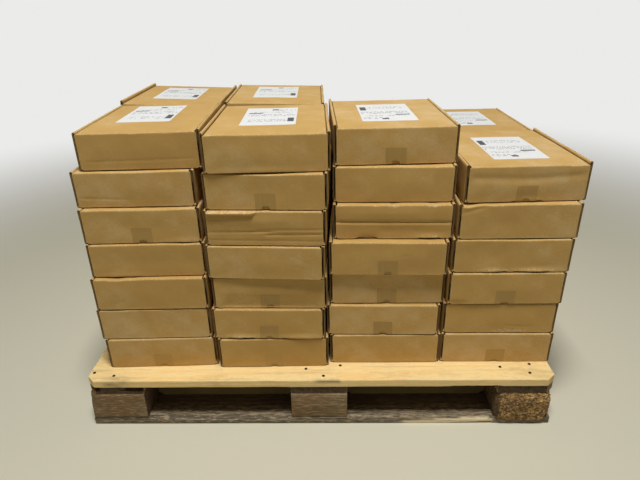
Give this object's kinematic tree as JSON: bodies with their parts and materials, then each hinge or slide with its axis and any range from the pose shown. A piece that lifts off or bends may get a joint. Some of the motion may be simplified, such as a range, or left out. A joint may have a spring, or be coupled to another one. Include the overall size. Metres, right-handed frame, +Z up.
{
  "type": "pallet load of mailer boxes",
  "caption": "Timber pallet loaded with two rows of stacked, closed corrugated mailer boxes with rolled side walls and tuck panels, unwrapped and unstrapped.",
  "frame": {"origin": "middle of the pallet's footprint, on the underside of its centre bottom board", "axes": "+X along the pallet's long side, to the right seen from the front; +Y from the front row of boxes to the rear row; +Z up"},
  "size_m": [1.2309, 0.8115, 0.7688],
  "materials": {
    "deck_timber": "sawn pine, fresh on the front board",
    "block_timber": "sawn, weathered grey brown",
    "chip_timber": "rough pressed chips, damp stained",
    "base_timber": "sawn, weathered grey, torn edge",
    "corrugated_board": "matt kraft liner",
    "brown_tape": "satin film",
    "label_paper": "smooth white, grey rules"
  },
  "bodies": {
    "root": {"deck_boards": "deck_timber", "cross_boards": "deck_timber", "timber_blocks": "block_timber", "chip_block": "chip_timber", "bottom_boards": "base_timber", "box_front_1_1": "corrugated_board", "box_front_1_2": "corrugated_board", "box_front_1_3": "corrugated_board", "box_front_1_4": "corrugated_board", "box_front_1_5": "corrugated_board", "box_front_1_6": "corrugated_board", "box_front_1_7": "corrugated_board", "box_front_2_1": "corrugated_board", "box_front_2_2": "corrugated_board", "box_front_2_3": "corrugated_board", "box_front_2_4": "corrugated_board", "box_front_2_5": "corrugated_board", "box_front_2_6": "corrugated_board", "box_front_2_7": "corrugated_board", "box_front_3_1": "corrugated_board", "box_front_3_2": "corrugated_board", "box_front_3_3": "corrugated_board", "box_front_3_4": "corrugated_board", "box_front_3_5": "corrugated_board", "box_front_3_6": "corrugated_board", "box_front_3_7": "corrugated_board", "box_front_4_1": "corrugated_board", "box_front_4_2": "corrugated_board", "box_front_4_3": "corrugated_board", "box_front_4_4": "corrugated_board", "box_front_4_5": "corrugated_board", "box_front_4_6": "corrugated_board", "box_rear_1_1": "corrugated_board", "box_rear_1_2": "corrugated_board", "box_rear_1_3": "corrugated_board", "box_rear_1_4": "corrugated_board", "box_rear_1_5": "corrugated_board", "box_rear_1_6": "corrugated_board", "box_rear_1_7": "corrugated_board", "box_rear_2_1": "corrugated_board", "box_rear_2_2": "corrugated_board", "box_rear_2_3": "corrugated_board", "box_rear_2_4": "corrugated_board", "box_rear_2_5": "corrugated_board", "box_rear_2_6": "corrugated_board", "box_rear_2_7": "corrugated_board", "box_rear_3_1": "corrugated_board", "box_rear_3_2": "corrugated_board", "box_rear_3_3": "corrugated_board", "box_rear_3_4": "corrugated_board", "box_rear_3_5": "corrugated_board", "box_rear_3_6": "corrugated_board", "box_rear_4_1": "corrugated_board", "box_rear_4_2": "corrugated_board", "box_rear_4_3": "corrugated_board", "box_rear_4_4": "corrugated_board", "box_rear_4_5": "corrugated_board", "box_rear_4_6": "corrugated_board", "tapes": "brown_tape", "labels": "label_paper"}
  },
  "joints": []
}
